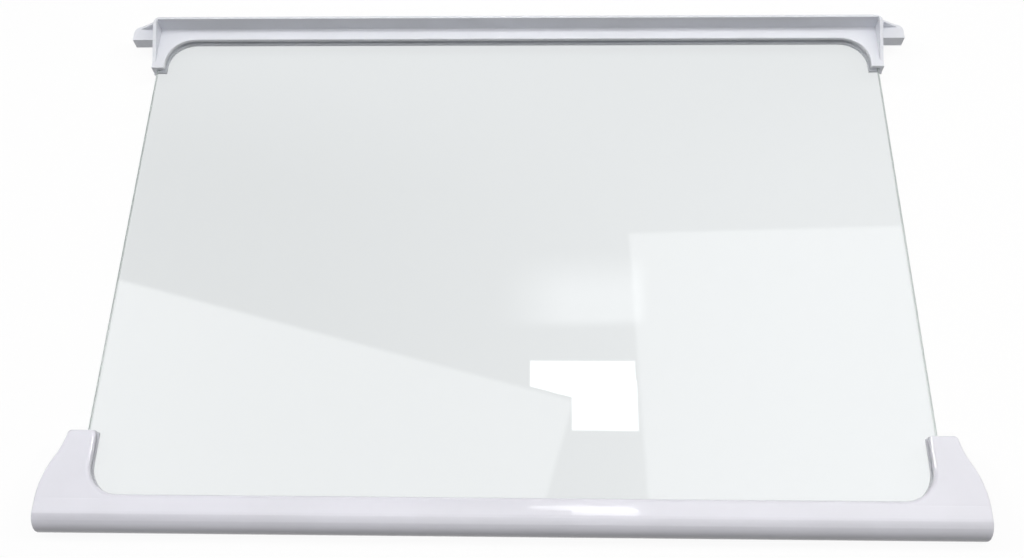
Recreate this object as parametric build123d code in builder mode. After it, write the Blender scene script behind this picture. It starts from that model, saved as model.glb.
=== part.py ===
from build123d import *
from math import asin, cos, degrees, radians, sin
import os

# A glass shelf for a refrigerator: one tempered pane between a front trim and a rear trim.
# Millimetres. X runs across the shelf, Y from the front to the rear, and Z up.
# The origin lies under the middle of the shelf, level with the foot of the front trim.

# Pane
glass_width = 477.8
glass_depth = 325.5
glass_thickness = 4.0
glass_corner = 5.0  # plan radius of the pane's corners, all hidden in the trims
glass_arris = 0.6  # chamfer ground along every edge
edge_clearance = 0.8  # gap left round the pane inside both trims

# Front trim, across its section
front_height = 15.4  # foot to top face
top_skin = 3.0  # stands this far above the glass
front_flange = 2.0  # under the glass
front_skirt = 2.2  # wall of the nose and of the wings
front_web = 1.8  # wall that closes the glass slot
front_lip = 11.2  # flat top from the crease to its inner edge
front_bite = 7.2  # of that, over the glass
nose_radius = 10.5
nose_slope = 12.5  # degrees below level where the nose leaves the crease
crease_round = 9.0  # radius that eases the crease

# Front trim, in plan
wing_reach = 21.4  # side of the trim beyond the pane's edge
wing_tail = 9.8  # the same at the tail of the wing
wing_length = 36.4  # lip's inner edge to the tail
wing_bite = 5.9  # cover over the pane's side edge
wing_straight = 7.5  # side that runs straight back from the crease
ogee_split = 0.62  # share of the S-curve behind it, along the wing, that bulges outwards
ogee_inset = 0.565  # share of the S-curve's drop towards the pane that the bulge makes
nose_corner = 1.8
nose_overrun = 0.5  # the outline runs this far past the nose, which then shapes the front alone
tail_corner = 2.5
front_window_radius = 18.0  # inner corner between lip and wing
rim_round = 0.9  # softened edge round the top face and the nose's ends
lip_round = 2.5  # the same along the edge over the glass

# Ribs under the front trim
rib_thickness = 1.5
rib_setback = 2.5  # ribs stop this far above the foot
nose_rib_count = 11
wing_rib_count = 2

# Rear trim
rear_wall = 2.2  # back wall and side walls
rear_flange = 2.3  # over the glass
rear_under_flange = 1.8  # under the glass
rear_under_step = 0.6  # reaches this far beyond the flange over the glass
rear_lip = 8.8  # flange in front of the back wall
back_rise = 13.1  # back wall above the glass
arm_length = 31.7  # in front of the back wall
arm_width = 8.3
arm_tip = 4.5  # level end of the side wall, before it slopes up
rear_window_radius = 18.0  # inner corner between flange and arm
rear_corner = 4.0  # plan radius where the back wall turns into the side walls
back_crest = 0.6  # level top of the side wall in front of that corner
back_top_round = 0.9  # outer edge of the back wall's top
rear_edge_round = 0.6
back_root_round = 1.0  # between the flange and the back wall
lug_reach = 16.3  # beyond the side wall
lug_corner = 5.0
gusset_thickness = 1.8
gusset_length = 12.3
gusset_height = 6.6

# Levels
glass_top = front_height - top_skin
glass_bottom = glass_top - glass_thickness
front_flange_foot = glass_bottom - front_flange
rear_foot = glass_bottom - rear_under_flange
rear_flange_top = glass_top + rear_flange
back_top = glass_top + back_rise

# Stations along Y, spread evenly about the origin
nose_reach = nose_radius * (1 - sin(radians(nose_slope)))
shelf_depth = nose_reach + front_lip - front_bite + glass_depth + edge_clearance + rear_wall
tip_y = -shelf_depth / 2
crease_y = tip_y + nose_reach
mid_lip = crease_y + front_lip / 2
lip_y = crease_y + front_lip
tail_y = lip_y + wing_length
glass_front = lip_y - front_bite
glass_middle = glass_front + glass_depth / 2
web_y = glass_front - edge_clearance - front_web
back_y = shelf_depth / 2
back_face_y = back_y - rear_wall
rear_lip_y = back_face_y - rear_lip
arm_y = back_face_y - arm_length

# Stations along X, on the right-hand side
glass_half = glass_width / 2
slot_half = glass_half + edge_clearance
web_half = slot_half + front_web
front_half = glass_half + wing_reach
tail_half = glass_half + wing_tail
front_window_half = glass_half - wing_bite
mid_bite = glass_half - wing_bite / 2
rear_half = slot_half + rear_wall
rear_window_half = rear_half - arm_width
lug_root = rear_half - rear_corner

# Centre of the nose's arcs, in the YZ plane
nose_centre = Vector(
    crease_y + nose_radius * sin(radians(nose_slope)),
    front_height - nose_radius * cos(radians(nose_slope)),
)


def nose_profile(radius, top):
    """Side profile of the front trim below the level top, rounded in front by an arc of the nose."""
    start = 180 - degrees(asin((top - nose_centre.Y) / radius))
    end = 180 + degrees(asin(nose_centre.Y / radius))
    with BuildSketch(Plane.YZ.offset(-front_half)) as profile:
        with BuildLine():
            nose = CenterArc(nose_centre, radius, start, end - start)
            Polyline(nose @ 1, (tail_y, 0), (tail_y, top), nose @ 0)
        make_face()
    return profile.sketch


nose_outside = nose_profile(nose_radius, front_height)
nose_inside = nose_profile(nose_radius - front_skirt, glass_top)

# Pane
with BuildPart() as glass_panel:
    with BuildSketch(Plane.XY.offset(glass_bottom)):
        with Locations((0, glass_middle)):
            RectangleRounded(glass_width, glass_depth, glass_corner)
    extrude(amount=glass_thickness)
    chamfer(glass_panel.faces().filter_by(Axis.Z).edges(), glass_arris)

# Room for the pane and its clearance, cut out of both trims
with BuildPart() as glass_slot:
    with BuildSketch(Plane.XY.offset(glass_bottom)):
        with Locations((0, glass_middle)):
            Rectangle(2 * slot_half, glass_depth + 2 * edge_clearance)
    extrude(amount=glass_thickness)

# Outline of the front trim, with the window between its wings still filled
with BuildSketch() as front_outline:
    with BuildLine():
        nose_edge = Line((0, tip_y - nose_overrun), (front_half - nose_corner, tip_y - nose_overrun))
        nose_end = TangentArc(nose_edge @ 1, nose_edge @ 1 + (nose_corner, nose_corner), tangent=(1, 0))
        side = Line(nose_end @ 1, (front_half, crease_y + wing_straight))
        drop = Vector(tail_half, tail_y) - side @ 1
        waist = side @ 1 + (drop.X * ogee_inset, drop.Y * ogee_split)
        bulge = TangentArc(side @ 1, waist, tangent=(0, 1))
        hollow = TangentArc(waist, (tail_half, tail_y), tangent=bulge % 1)
        Line(hollow @ 1, (0, tail_y))
        mirror(about=Plane.YZ)
    make_face()

# Window between the wings
with BuildSketch() as front_window:
    with Locations((0, lip_y)):
        Rectangle(2 * front_window_half, 2 * wing_length, align=(Align.CENTER, Align.MIN))
    fillet(front_window.vertices().group_by(Axis.Y)[0], front_window_radius)

# Top face of the front trim: the outline less the window, with the outer tails of its wings rounded
with BuildSketch() as front_face:
    add(front_outline.sketch)
    add(front_window.sketch, mode=Mode.SUBTRACT)
    tails = front_face.vertices().group_by(Axis.Y)[-1].sort_by(Axis.X)
    fillet([tails[0], tails[-1]], tail_corner)

# Glass channel of the front trim, in plan
with BuildSketch() as front_channel:
    with Locations((0, web_y)):
        Rectangle(2 * web_half, tail_y - web_y, align=(Align.CENTER, Align.MIN))

# Hollow under the front trim: one space at the foot, and cells between the ribs above it
with BuildPart() as front_hollow:
    with BuildSketch() as cells:
        offset(front_outline.sketch, -front_skirt)
        add(front_channel.sketch)
    extrude(amount=rib_setback)
    with BuildSketch():
        add(cells.sketch)
        with Locations((0, web_y)):
            with GridLocations(2 * front_half / (nose_rib_count + 1), 0, nose_rib_count, 1):
                Rectangle(rib_thickness, web_y - tip_y, align=(Align.CENTER, Align.MAX), mode=Mode.SUBTRACT)
        for hand in (-1, 1):
            with Locations((hand * (web_half + front_half) / 2, (lip_y + tail_y) / 2)):
                with GridLocations(0, wing_length / (wing_rib_count + 1), 1, wing_rib_count):
                    Rectangle(front_half - web_half, rib_thickness, mode=Mode.SUBTRACT)
    extrude(amount=glass_top)
    extrude(nose_inside, amount=2 * front_half, mode=Mode.INTERSECT)

# Front trim
with BuildPart() as front_trim:
    extrude(front_face.sketch, amount=front_height)
    extrude(nose_outside, amount=2 * front_half, mode=Mode.INTERSECT)
    # Crease between the nose and the top
    crease = front_trim.faces().sort_by(Axis.Z)[-1].edges().filter_by(Axis.X).sort_by(Axis.Y)[0]
    fillet(crease, crease_round)
    # Edge over the glass
    rim = front_trim.faces().sort_by(Axis.Z)[-1].edges()
    rim = rim.filter_by_position(Axis.X, -mid_bite, mid_bite)
    fillet(rim.filter_by_position(Axis.Y, mid_lip, tail_y), lip_round)
    # Edges that run on from the sides round the tails, and the ends of the nose
    sides = front_trim.faces().sort_by(Axis.Z)[-1].edges().filter_by(Axis.Y).sort_by(Axis.X)
    nose = front_trim.faces().filter_by(GeomType.CYLINDER).sort_by(SortBy.AREA)[-1]
    nose_ends = nose.edges().filter_by(GeomType.LINE, reverse=True)
    fillet(sides[:1] + sides[-1:] + nose_ends, rim_round)
    add(front_hollow.part, mode=Mode.SUBTRACT)
    with BuildSketch(Plane.XY.offset(front_flange_foot)):
        add(front_channel.sketch)
        add(front_window.sketch, mode=Mode.SUBTRACT)
    extrude(amount=front_flange + glass_thickness)
    add(glass_slot.part, mode=Mode.SUBTRACT)

# Plan of the lug at the right-hand end of the rear trim
with BuildSketch() as lug:
    with Locations((lug_root, back_y)):
        Rectangle(rear_corner + lug_reach, rear_wall + rear_lip, align=(Align.MIN, Align.MAX))
    fillet(lug.vertices().group_by(Axis.X)[-1].sort_by(Axis.Y)[-1], lug_corner)

# Gusset that stands on the lug in line with the back wall, kept within the lug's plan
with BuildPart() as gusset:
    with BuildSketch(Plane.XZ.offset(-back_face_y)):
        with BuildLine():
            Polyline(
                (lug_root, rear_flange_top),
                (rear_half + gusset_length, rear_flange_top),
                (rear_half, rear_flange_top + gusset_height),
                (lug_root, rear_flange_top + gusset_height),
                close=True,
            )
        make_face()
    extrude(amount=-gusset_thickness)
    extrude(lug.sketch, amount=back_top, mode=Mode.INTERSECT)

# Rear trim
with BuildPart() as rear_trim:
    # Section of the channel and its back wall, carried across the shelf
    with BuildSketch(Plane.YZ.offset(-rear_half)) as rear_section:
        with BuildLine():
            Polyline(
                (arm_y - rear_under_step, rear_foot),
                (back_y, rear_foot),
                (back_y, back_top),
                (back_face_y, back_top),
                (back_face_y, rear_flange_top),
                (arm_y, rear_flange_top),
                (arm_y, glass_bottom),
                (arm_y - rear_under_step, glass_bottom),
                close=True,
            )
        make_face()
        # In this sketch X runs along the shelf's Y, and Y along its Z
        fillet(rear_section.vertices().group_by(Axis.Y)[-2].sort_by(Axis.X)[-1], back_root_round)
        fillet(rear_section.vertices().group_by(Axis.Y)[-1].sort_by(Axis.X)[0], rear_edge_round)
    extrude(amount=2 * rear_half)
    # Side walls that slope down to the arms
    with BuildSketch(Plane.YZ.offset(-rear_half), Plane.YZ.offset(rear_half - rear_wall)):
        with BuildLine():
            Polyline(
                (arm_y + arm_tip, rear_flange_top),
                (back_y, rear_flange_top),
                (back_y, back_top),
                (back_y - rear_corner - back_crest, back_top),
                close=True,
            )
        make_face()
    extrude(amount=rear_wall)
    fillet(rear_trim.edges().filter_by(Axis.Z).group_by(Axis.Y)[-1], rear_corner)
    with BuildSketch(Plane.XY.offset(rear_foot)):
        add(lug.sketch)
    extrude(amount=rear_flange_top - rear_foot)
    add(gusset.part)
    mirror(about=Plane.YZ)
    # Outer edge of the back wall's top, with its corners
    crest = rear_trim.faces().sort_by(Axis.Z)[-1].edges().filter_by(Axis.X)
    fillet(crest.sort_by(Axis.Y)[-1], back_top_round)
    # Window between the arms, narrower through the flange under the glass, and the slot for the pane
    with BuildSketch(Plane.XY.offset(glass_bottom)) as rear_window:
        with Locations((0, rear_lip_y)):
            Rectangle(2 * rear_window_half, 2 * arm_length, align=(Align.CENTER, Align.MAX))
        fillet(rear_window.vertices().group_by(Axis.Y)[-1], rear_window_radius)
    extrude(amount=rear_flange_top - glass_bottom, mode=Mode.SUBTRACT)
    fillet(rear_trim.edges(Select.LAST).group_by(Axis.Z)[-1], rear_edge_round)
    with BuildSketch(Plane.XY.offset(glass_bottom)):
        offset(rear_window.sketch, -rear_under_step)
    extrude(amount=-rear_under_flange, mode=Mode.SUBTRACT)
    add(glass_slot.part, mode=Mode.SUBTRACT)

os.makedirs("parts", exist_ok=True)
glass_panel.part.label = "glass_panel"
export_step(glass_panel.part, "parts/glass_panel.step")
front_trim.part.label = "front_trim"
export_step(front_trim.part, "parts/front_trim.step")
rear_trim.part.label = "rear_trim"
export_step(rear_trim.part, "parts/rear_trim.step")
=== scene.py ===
"""Dresses a fridge glass shelf: a tempered pane held between a front and a rear trim of white moulding."""

import logging
import math
from dataclasses import dataclass
from enum import Enum
from typing import Any, Union

import bpy
from mathutils import Matrix, Vector


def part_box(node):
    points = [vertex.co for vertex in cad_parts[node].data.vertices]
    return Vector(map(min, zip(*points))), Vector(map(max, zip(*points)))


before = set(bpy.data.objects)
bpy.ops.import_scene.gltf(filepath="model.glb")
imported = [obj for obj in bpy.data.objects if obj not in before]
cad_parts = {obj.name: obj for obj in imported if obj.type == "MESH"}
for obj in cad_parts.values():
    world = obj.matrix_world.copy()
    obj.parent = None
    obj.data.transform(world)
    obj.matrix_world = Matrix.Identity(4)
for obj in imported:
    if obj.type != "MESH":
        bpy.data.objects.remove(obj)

LOG = logging.getLogger("shelf")
IMAGE_WIDTH = 1024
SENSOR_WIDTH = 36.0
REFRACTIVE_INDEX = 1.5  # of the glass and of the moulding alike

Colour = tuple[float, float, float]
Span = tuple[float, float]

WHITE: Colour = (1.0, 1.0, 1.0)


class Slot(Enum):
    """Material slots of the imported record."""

    GLASS = "tempered_glass"
    MOULDING = "white_moulding"


class Signal:
    """One number that varies over a surface. Arithmetic on it adds Math nodes to its graph."""

    def __init__(self, graph: "Graph", socket: bpy.types.NodeSocket) -> None:
        """Wraps an output socket of a graph."""
        self.graph = graph
        self.socket = socket

    def _math(self, operation: str, *terms: Union["Signal", float], clamp: bool = False) -> "Signal":
        """Adds one Math node.

        Args:
            operation: Blender's name of the operation.
            terms: Numbers or signals, in the order of the node's sockets.
            clamp: True to keep the result between 0 and 1.

        Returns:
            The node's result.
        """
        settings = {"operation": operation, "use_clamp": clamp}
        node = self.graph.node("ShaderNodeMath", settings, dict(enumerate(terms)))
        return Signal(self.graph, node.outputs[0])

    def __add__(self, other: Union["Signal", float]) -> "Signal":
        """Sum."""
        return self._math("ADD", self, other)

    __radd__ = __add__

    def __sub__(self, other: Union["Signal", float]) -> "Signal":
        """Difference."""
        return self._math("SUBTRACT", self, other)

    def __rsub__(self, other: float) -> "Signal":
        """Difference from a number."""
        return self._math("SUBTRACT", other, self)

    def __mul__(self, other: Union["Signal", float]) -> "Signal":
        """Product."""
        return self._math("MULTIPLY", self, other)

    __rmul__ = __mul__

    def __truediv__(self, other: Union["Signal", float]) -> "Signal":
        """Quotient."""
        return self._math("DIVIDE", self, other)

    def __abs__(self) -> "Signal":
        """Size without its sign."""
        return self._math("ABSOLUTE", self)

    def highest(self, other: Union["Signal", float]) -> "Signal":
        """The larger of two values."""
        return self._math("MAXIMUM", self, other)

    def lowest(self, other: Union["Signal", float]) -> "Signal":
        """The smaller of two values."""
        return self._math("MINIMUM", self, other)

    def step(self, low: float, high: float) -> "Signal":
        """Smooth rise from 0 at one value to 1 at another.

        Args:
            low: Value at which the rise starts.
            high: Value at which it ends; it may lie below low for a fall.

        Returns:
            The eased share between 0 and 1.
        """
        inputs = {"Value": self, "From Min": low, "From Max": high}
        node = self.graph.node("ShaderNodeMapRange", {"interpolation_type": "SMOOTHSTEP"}, inputs)
        return Signal(self.graph, node.outputs["Result"])


Input = Union[Signal, bpy.types.NodeSocket, float, int, Colour, tuple[float, float, float, float]]


class Graph:
    """A node tree that is filled by short calls."""

    SPECK_CORE = 0.5  # share of a speck's radius that it fills in full
    SPECK_CHOICE = 0.6  # share of the chosen cells whose speck shows in full

    def __init__(self, tree: bpy.types.NodeTree) -> None:
        """Empties a tree and takes it over."""
        self.tree = tree
        tree.nodes.clear()

    def node(
        self,
        kind: str,
        settings: dict[str, Any] | None = None,
        inputs: dict[Union[str, int], Input] | None = None,
    ) -> bpy.types.Node:
        """Adds a node.

        Args:
            kind: Blender's node type.
            settings: Properties that are set first, such as an operation.
            inputs: Values or links of its sockets, by name or place.

        Returns:
            The new node.
        """
        made = self.tree.nodes.new(kind)
        for name, value in (settings or {}).items():
            setattr(made, name, value)
        for key, value in (inputs or {}).items():
            socket = made.inputs[key]
            source = value.socket if isinstance(value, Signal) else value
            if isinstance(source, bpy.types.NodeSocket):
                self.tree.links.new(source, socket)
            elif socket.type == "RGBA" and len(source) == 3:
                socket.default_value = (*source, 1.0)
            else:
                socket.default_value = source
        return made

    def signal(self, node: bpy.types.Node, output: Union[str, int] = 0) -> Signal:
        """One of a node's outputs, ready for arithmetic."""
        return Signal(self, node.outputs[output])

    def axes(self) -> tuple[bpy.types.NodeSocket, Signal, Signal, Signal]:
        """The object's own coordinates.

        Returns:
            The coordinates as a vector, then X, Y and Z apart.
        """
        vector = self.node("ShaderNodeTexCoord").outputs["Object"]
        apart = self.node("ShaderNodeSeparateXYZ", inputs={0: vector})
        return vector, self.signal(apart, "X"), self.signal(apart, "Y"), self.signal(apart, "Z")

    def noise(self, vector: bpy.types.NodeSocket, period: float, detail: float = 2.0) -> Signal:
        """Soft cloudy variation.

        Args:
            vector: Coordinates in metres.
            period: Typical size of a cloud, in metres.
            detail: Octaves of finer variation.

        Returns:
            A value about 0.5.
        """
        inputs = {"Vector": vector, "Scale": 1.0 / period, "Detail": detail}
        return self.signal(self.node("ShaderNodeTexNoise", inputs=inputs), 0)

    def stretched(self, vector: bpy.types.NodeSocket, scale: Colour) -> bpy.types.NodeSocket:
        """Coordinates scaled apart along X, Y and Z."""
        return self.node("ShaderNodeMapping", inputs={"Vector": vector, "Scale": scale}).outputs[0]

    def specks(self, vector: bpy.types.NodeSocket, spacing: float, radius: float, share: float) -> Signal:
        """Sparse small round specks.

        Args:
            vector: Coordinates in metres.
            spacing: Size of the cells that may each hold a speck.
            radius: Radius of the largest specks, in metres.
            share: Share of the cells that hold one.

        Returns:
            1 in a speck and 0 outside.
        """
        cells = self.node("ShaderNodeTexVoronoi", inputs={"Vector": vector, "Scale": 1.0 / spacing})
        pick = self.node("ShaderNodeSeparateColor", inputs={0: cells.outputs["Color"]})
        there = self.signal(pick, 0).step(share, share * self.SPECK_CHOICE)
        near = radius / spacing
        return self.signal(cells, "Distance").step(near, near * self.SPECK_CORE) * there

    def mix(self, factor: Union[Signal, float], first: Input, second: Input) -> bpy.types.NodeSocket:
        """Blends two colours.

        Args:
            factor: Share of the second colour.
            first: Colour at 0.
            second: Colour at 1.

        Returns:
            The blended colour.
        """
        inputs = {"Factor": factor, 6: first, 7: second}
        made = self.node("ShaderNodeMix", {"data_type": "RGBA"}, inputs)
        return made.outputs[2]

    def bump(
        self, height: Signal, depth: float, over: bpy.types.NodeSocket | None = None
    ) -> bpy.types.NodeSocket:
        """A surface normal from a height map.

        Args:
            height: Height, 1 for the full depth.
            depth: Full depth in metres.
            over: A normal that is already disturbed, or None for the surface's own.

        Returns:
            The disturbed normal.
        """
        inputs = {"Height": height, "Distance": depth}
        if over is not None:
            inputs["Normal"] = over
        return self.node("ShaderNodeBump", inputs=inputs).outputs[0]

    def seen(self) -> Signal:
        """Tells rays that show a surface to the eye from those that only light other surfaces.

        Returns:
            1 for rays that come straight from the eye or by mirror or glass, and 0 for others.
        """
        ray = self.node("ShaderNodeLightPath")
        straight = self.signal(ray, "Is Camera Ray").highest(self.signal(ray, "Is Glossy Ray"))
        return straight.highest(self.signal(ray, "Is Transmission Ray"))


@dataclass(frozen=True)
class Moulding:
    """Glossy cool-white injection moulding, on request with a lip that falls off in a slight crown."""

    crown_start: float | None = None  # Y of the crease, or None for a plain moulding
    crown_length: float = 0.0085  # crowned part of the lip behind the crease
    crown_fall: float = 0.042  # its slope at the crease
    crown_radius: float = 0.140
    nose_length: float = 0.006  # part of the nose before the crease that is steeper
    nose_fall: float = 0.15  # its added slope at the crease
    colour: Colour = (0.770, 0.766, 0.835)
    shade: Colour = (0.742, 0.739, 0.802)
    dust: Colour = (0.30, 0.29, 0.30)
    gloss: float = 0.015
    haze: float = 0.025
    cloud: float = 0.045
    cloud_span: Span = (0.35, 0.65)
    smear: float = 0.022
    smear_span: Span = (0.45, 0.75)
    smear_stretch: Colour = (0.25, 1.0, 1.0)
    peel: float = 0.0035
    peel_depth: float = 0.000004
    speck_spacing: float = 0.042
    speck_radius: float = 0.00045
    speck_share: float = 0.22
    speck_cover: float = 0.8
    speck_rough: float = 0.3

    def material(self) -> bpy.types.Material:
        """Builds the finish.

        Returns:
            A node material on object coordinates.
        """
        made = bpy.data.materials.new("white_moulding_finish")
        made.use_nodes = True
        graph = Graph(made.node_tree)
        vector, _, y, _ = graph.axes()
        clouds = graph.noise(vector, self.cloud, detail=3.0)
        smears = graph.noise(graph.stretched(vector, self.smear_stretch), self.smear, detail=4.0)
        specks = graph.specks(vector, self.speck_spacing, self.speck_radius, self.speck_share)
        tone = graph.mix(clouds.step(*self.cloud_span), self.colour, self.shade)
        tone = graph.mix(specks * self.speck_cover, tone, self.dust)
        rough = self.gloss + smears.step(*self.smear_span) * self.haze + specks * self.speck_rough
        normal = graph.bump(graph.noise(vector, self.peel, detail=1.0), self.peel_depth)
        if self.crown_start is not None:
            along = (y - self.crown_start).highest(0.0).lowest(self.crown_length)
            crown = along * (along / (-2.0 * self.crown_radius) - self.crown_fall)
            normal = graph.bump(crown, 1.0, normal)
            before = ((self.crown_start - y) / self.nose_length).highest(0.0).lowest(1.0)
            drop = before * (before * 0.5 - 1.0) * (self.nose_fall * self.nose_length)
            normal = graph.bump(drop, 1.0, normal)
        inputs = {"Base Color": tone, "Roughness": rough, "Normal": normal, "IOR": REFRACTIVE_INDEX}
        shader = graph.node("ShaderNodeBsdfPrincipled", inputs=inputs)
        graph.node("ShaderNodeOutputMaterial", inputs={"Surface": shader.outputs[0]})
        return made


@dataclass(frozen=True)
class FloatGlass:
    """Clear tempered float glass, faintly green, with ground edges."""

    half_width: float
    front: float
    rear: float
    body: Colour = (0.803, 0.825, 0.832)
    shade: Colour = (0.95, 0.955, 0.955)
    edge: Colour = (0.70, 0.77, 0.75)
    ground_colour: Colour = (0.44, 0.50, 0.48)
    ground_share: float = 0.45
    dust: Colour = (0.55, 0.56, 0.55)
    ground_rough: float = 0.5
    edge_band: float = 0.0007
    edge_core: float = 0.6
    edge_rough: float = 0.30
    film: float = 0.018
    film_cloud: float = 0.060
    film_span: Span = (0.42, 0.72)
    wave: float = 0.120
    wave_depth: float = 0.000012
    speck_spacing: float = 0.055
    speck_radius: float = 0.0005
    speck_share: float = 0.16
    speck_cover: float = 0.7
    speck_rough: float = 0.4

    def material(self) -> bpy.types.Material:
        """Builds the finish.

        Returns:
            A node material on object coordinates.
        """
        made = bpy.data.materials.new("tempered_glass_finish")
        made.use_nodes = True
        graph = Graph(made.node_tree)
        vector, x, y, _ = graph.axes()
        middle = (self.front + self.rear) / 2
        half_depth = (self.rear - self.front) / 2
        beyond_side = abs(x) - self.half_width
        beyond_end = abs(y - middle) - half_depth
        ground = beyond_side.highest(beyond_end).step(-self.edge_band, -self.edge_band * self.edge_core)
        film = graph.noise(vector, self.film_cloud, detail=4.0).step(*self.film_span)
        specks = graph.specks(vector, self.speck_spacing, self.speck_radius, self.speck_share)
        tone = graph.mix(ground, self.body, self.edge)
        tone = graph.mix(specks * self.speck_cover, tone, self.dust)
        rough = film * self.film + ground * self.edge_rough + specks * self.speck_rough
        normal = graph.bump(graph.noise(vector, self.wave, detail=0.0), self.wave_depth)
        inputs = {"Base Color": tone, "Roughness": rough, "Normal": normal, "IOR": REFRACTIVE_INDEX}
        inputs["Transmission Weight"] = 1.0
        shader = graph.node("ShaderNodeBsdfPrincipled", inputs=inputs)
        frosted = graph.mix(film, self.ground_colour, self.edge)
        inputs = {"Base Color": frosted, "Roughness": self.ground_rough, "IOR": REFRACTIVE_INDEX}
        satin = graph.node("ShaderNodeBsdfPrincipled", inputs=inputs)
        inputs = {0: ground * self.ground_share, 1: shader.outputs[0], 2: satin.outputs[0]}
        pane = graph.node("ShaderNodeMixShader", inputs=inputs)
        clear = graph.node("ShaderNodeBsdfTransparent", inputs={"Color": self.shade})
        ray = graph.node("ShaderNodeLightPath")
        lit = graph.signal(ray, "Is Shadow Ray").highest(graph.signal(ray, "Is Diffuse Ray"))
        inputs = {0: lit, 1: pane.outputs[0], 2: clear.outputs[0]}
        both = graph.node("ShaderNodeMixShader", inputs=inputs)
        graph.node("ShaderNodeOutputMaterial", inputs={"Surface": both.outputs[0]})
        return made


@dataclass(frozen=True)
class PaleFloor:
    """Matt white floor that reads as white behind the shelf and keeps its shadow."""

    colour: Colour = (0.92, 0.92, 0.92)
    bounce: Colour = (0.51, 0.51, 0.51)
    # painted shadow: a dark floor tone, seen only by bouncing light, in front of and under the front
    # trim's nose
    painted_shadow: Colour = (0.08, 0.08, 0.08)
    painted_shadow_from: float = -0.150
    painted_shadow_to: float = -0.175
    lift: float = 0.92
    glow: float = 1.0

    def material(self) -> bpy.types.Material:
        """Builds the finish.

        Returns:
            A diffuse surface, partly lit by itself where it is looked at.
        """
        made = bpy.data.materials.new("pale_floor")
        made.use_nodes = True
        graph = Graph(made.node_tree)
        seen = graph.seen()
        _, _, y, _ = graph.axes()
        # painted shadow: towards the front the bounce tone turns dark, so the nose's underside gets
        # painted shade instead of floor light
        tone = graph.mix(y.step(self.painted_shadow_from, self.painted_shadow_to), self.bounce, self.painted_shadow)
        tone = graph.mix(seen, tone, self.colour)
        matt = graph.node("ShaderNodeBsdfDiffuse", inputs={"Color": tone})
        glow = graph.node("ShaderNodeEmission", inputs={"Color": WHITE, "Strength": self.glow})
        inputs = {0: seen * self.lift, 1: matt.outputs[0], 2: glow.outputs[0]}
        both = graph.node("ShaderNodeMixShader", inputs=inputs)
        graph.node("ShaderNodeOutputMaterial", inputs={"Surface": both.outputs[0]})
        return made


@dataclass
class Shelf:
    """The CAD nodes of the shelf and their finishes."""

    pane: str = "glass_panel"
    front_trim: str = "front_trim"
    rear_trim: str = "rear_trim"
    lip_cover: float = 0.004
    rear_colour: Colour = (0.768, 0.782, 0.835)
    rear_shade: Colour = (0.740, 0.754, 0.802)

    def dress(self) -> None:
        """Gives every node its finish."""
        low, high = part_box(self.pane)
        glass = FloatGlass(half_width=high.x, front=low.y, rear=high.y).material()
        crease = low.y - self.lip_cover
        front = Moulding(crown_start=crease).material()
        rear = Moulding(colour=self.rear_colour, shade=self.rear_shade).material()
        for name, finish, slot in (
            (self.pane, glass, Slot.GLASS),
            (self.front_trim, front, Slot.MOULDING),
            (self.rear_trim, rear, Slot.MOULDING),
        ):
            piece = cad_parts[name]
            piece.material_slots[0].material = finish
            LOG.info("%s dressed with %s", name, finish.name)


@dataclass(frozen=True)
class Softbox:
    """A flat lamp that hangs level above the shelf, or leans in from one side. Angles are in degrees."""

    name: str
    centre: tuple[float, float, float]
    width: float
    depth: float
    radiance: float
    turn: float = 0.0
    lean: float = 0.0
    feather: float = 0.012
    fade: float = 0.0
    grid: float = 180.0
    mirrored: bool = True
    colour: Colour = WHITE

    def build(self) -> bpy.types.Object:
        """Adds the lamp.

        Returns:
            The lamp's object.
        """
        lamp = bpy.data.lights.new(self.name, "AREA")
        lamp.shape = "RECTANGLE"
        lamp.size = self.width
        lamp.size_y = self.depth
        lamp.color = self.colour
        lamp.spread = math.radians(self.grid)
        lamp.energy = self.radiance * math.pi * self.width * self.depth
        self.soften(lamp)
        made = bpy.data.objects.new(self.name, lamp)
        bpy.context.scene.collection.objects.link(made)
        made.location = self.centre
        made.rotation_euler = (0.0, math.radians(self.lean), math.radians(self.turn))
        made.visible_glossy = self.mirrored
        made.visible_transmission = self.mirrored
        made.visible_camera = False
        return made

    def soften(self, lamp: bpy.types.AreaLight) -> None:
        """Lets the lamp fade out at its edges, and on request towards one side.

        Args:
            lamp: The lamp's data.
        """
        lamp.use_nodes = True
        graph = Graph(lamp.node_tree)
        place = graph.node("ShaderNodeNewGeometry").outputs["Parametric"]
        apart = graph.node("ShaderNodeSeparateXYZ", inputs={0: place})
        across = graph.signal(apart, "X")
        along = graph.signal(apart, "Y")
        side = across.lowest(1.0 - across) * self.width
        end = along.lowest(1.0 - along) * self.depth
        level = side.step(0.0, self.feather) * end.step(0.0, self.feather) * (1.0 - across * self.fade)
        light = graph.node("ShaderNodeEmission", inputs={"Color": WHITE, "Strength": level})
        graph.node("ShaderNodeOutputLight", inputs={0: light.outputs[0]})


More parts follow.
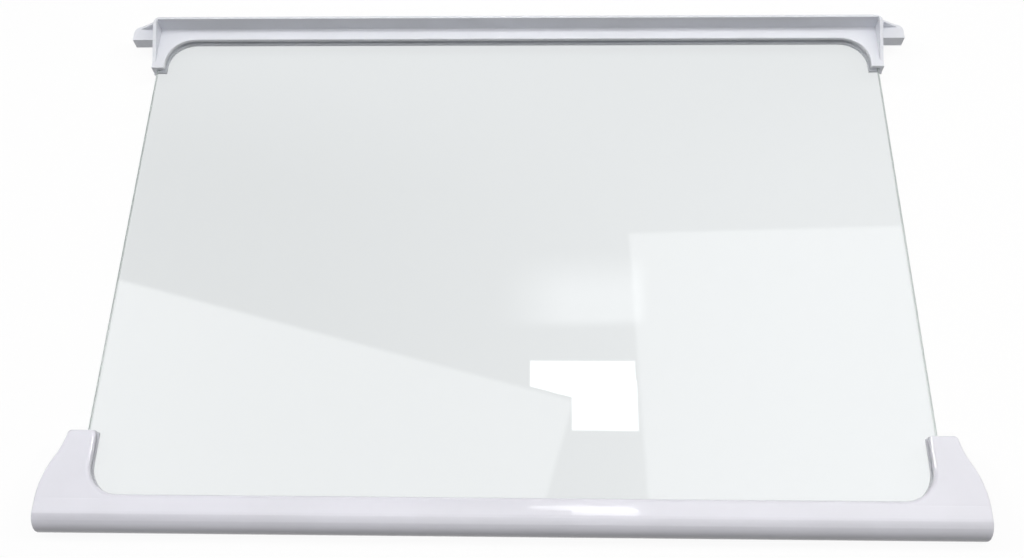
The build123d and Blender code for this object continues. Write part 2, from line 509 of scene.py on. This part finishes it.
@dataclass
class Studio:
    """Floor, backdrop, lamps and camera."""

    floor_half: float = 20.0
    camera_x: float = 0.019386
    camera_before: float = 0.143397
    camera_above: float = 0.587530
    camera_yaw: float = -3.7588
    camera_pitch: float = 64.1806
    camera_roll: float = 3.1950
    focal_pixels: float = 1088.05
    ambient: float = 0.15
    ambient_colour: Colour = (0.97, 0.98, 1.0)
    ceiling: float = 0.20
    back_wall: float = 0.68
    window_side: float = 1.10
    window_glow: float = 1.3
    front_glow: float = 1.3
    overhead_span: Span = (0.25, 0.65)
    back_span: Span = (0.48, 0.62)
    side_span: Span = (-0.30, 0.34)
    glow_left: Span = (-0.05, 0.03)
    glow_right: Span = (0.098, 0.082)
    glow_near: Span = (0.392, 0.403)
    glow_far: Span = (0.462, 0.42)
    front_span: Span = (0.06, -0.10)
    front_left: Span = (-0.40, -0.14)
    front_right: Span = (0.30, 0.02)

    def lamps(self) -> tuple[Softbox, ...]:
        """Lists the lamps above the shelf and at its sides.

        Returns:
            The lamps: those that light, the large panels, both sides and the small bright window.
        """
        right = (1.45, 0.45, 1.262)
        left = (-1.45, 0.45, 1.262)
        warm = {"colour": (1.0, 0.98, 0.90)}
        unseen = {"mirrored": False}
        right_panel = {"width": 1.016, "depth": 0.892, "feather": 0.014}
        left_panel = {"width": 1.134, "depth": 0.994, "feather": 0.014, "fade": 0.42}
        window = {"width": 1.16, "depth": 0.32, "feather": 0.03, **unseen}
        strip = {"width": 0.36, "depth": 0.14, "grid": 29.0}
        small = {"radiance": 5.0, "feather": 0.006}
        return (
            Softbox("key", (0.30, 0.45, 1.9), width=2.2, depth=1.6, radiance=1.40, **unseen),
            Softbox("front_fill", (0.0, -1.0, 1.6), width=1.6, depth=0.6, radiance=1.45, **unseen),
            Softbox("right_panel", (0.728, 0.443, 1.6), radiance=1.05, turn=1.9, **right_panel),
            Softbox("left_panel", (-0.586, 0.141, 1.6), radiance=1.72, turn=-15.4, **left_panel),
            Softbox("right_window", right, radiance=6.4, lean=55.0, **window, **warm),
            Softbox("left_window", left, radiance=5.4, lean=-55.0, **window),
            Softbox("right_strip", right, radiance=1.15, turn=16.0, lean=58.0, **strip),
            Softbox("left_strip", left, radiance=1.60, turn=-16.0, lean=-58.0, **strip, **warm),
            Softbox("small_panel", (0.105, 0.5144, 1.6), width=0.231, depth=0.087, **small),
            Softbox("small_panel_low", (0.1494, 0.4515, 1.59), width=0.1433, depth=0.1145, **small),
        )

    def build_floor(self) -> None:
        """Lays the floor that the shelf stands on."""
        bpy.ops.object.select_all(action="DESELECT")
        bpy.ops.mesh.primitive_plane_add(size=2 * self.floor_half)
        floor = bpy.context.object
        floor.name = "floor"
        floor.data.materials.append(PaleFloor().material())

    def build_backdrop(self) -> None:
        """Sets the pale surroundings, dimmer towards the ceiling."""
        world = bpy.data.worlds.new("backdrop")
        bpy.context.scene.world = world
        world.use_nodes = True
        graph = Graph(world.node_tree)
        direction = graph.node("ShaderNodeTexCoord").outputs["Generated"]
        apart = graph.node("ShaderNodeSeparateXYZ", inputs={0: direction})
        right, rear, height = (graph.signal(apart, axis) for axis in "XYZ")
        seen = graph.seen()
        back = rear.step(*self.back_span)
        side = (1.0 - back) * right.step(*self.side_span)
        between = right.step(*self.glow_left) * right.step(*self.glow_right)
        glow = between * rear.step(*self.glow_near) * rear.step(*self.glow_far)
        before = rear.step(*self.front_span) * right.step(*self.front_left) * right.step(*self.front_right)
        ceiling = self.ceiling + back * self.back_wall + side * self.window_side
        ceiling = ceiling + glow * self.window_glow + before * self.front_glow
        overhead = height.step(*self.overhead_span)
        shown = 1.0 - overhead + overhead * ceiling
        strength = shown * seen + self.ambient * (1.0 - seen)
        inputs = {"Color": self.ambient_colour, "Strength": strength}
        light = graph.node("ShaderNodeBackground", inputs=inputs)
        graph.node("ShaderNodeOutputWorld", inputs={"Surface": light.outputs[0]})

    def build_camera(self) -> None:
        """Sets the camera at the photograph's place and angle."""
        data = bpy.data.cameras.new("camera")
        data.sensor_width = SENSOR_WIDTH
        data.lens = self.focal_pixels / IMAGE_WIDTH * SENSOR_WIDTH
        camera = bpy.data.objects.new("camera", data)
        bpy.context.scene.collection.objects.link(camera)
        turn = Matrix.Rotation(math.radians(-self.camera_yaw), 4, "Z")
        tilt = Matrix.Rotation(math.radians(90.0 - self.camera_pitch), 4, "X")
        roll = Matrix.Rotation(math.radians(-self.camera_roll), 4, "Z")
        low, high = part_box("glass_panel")
        place = Vector((self.camera_x, low.y - self.camera_before, high.z + self.camera_above))
        camera.matrix_world = Matrix.Translation(place) @ turn @ tilt @ roll
        bpy.context.scene.camera = camera

    def build(self) -> None:
        """Sets up everything round the shelf."""
        bpy.context.scene.view_settings.view_transform = "Standard"
        self.build_floor()
        self.build_backdrop()
        for lamp in self.lamps():
            lamp.build()
        self.build_camera()
        LOG.info("studio set up with %d lamps", len(self.lamps()))


def main() -> None:
    """Dresses the shelf and sets up the studio."""
    logging.basicConfig(level=logging.INFO)
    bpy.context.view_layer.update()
    Shelf().dress()
    Studio().build()


if __name__ == "__main__":
    main()
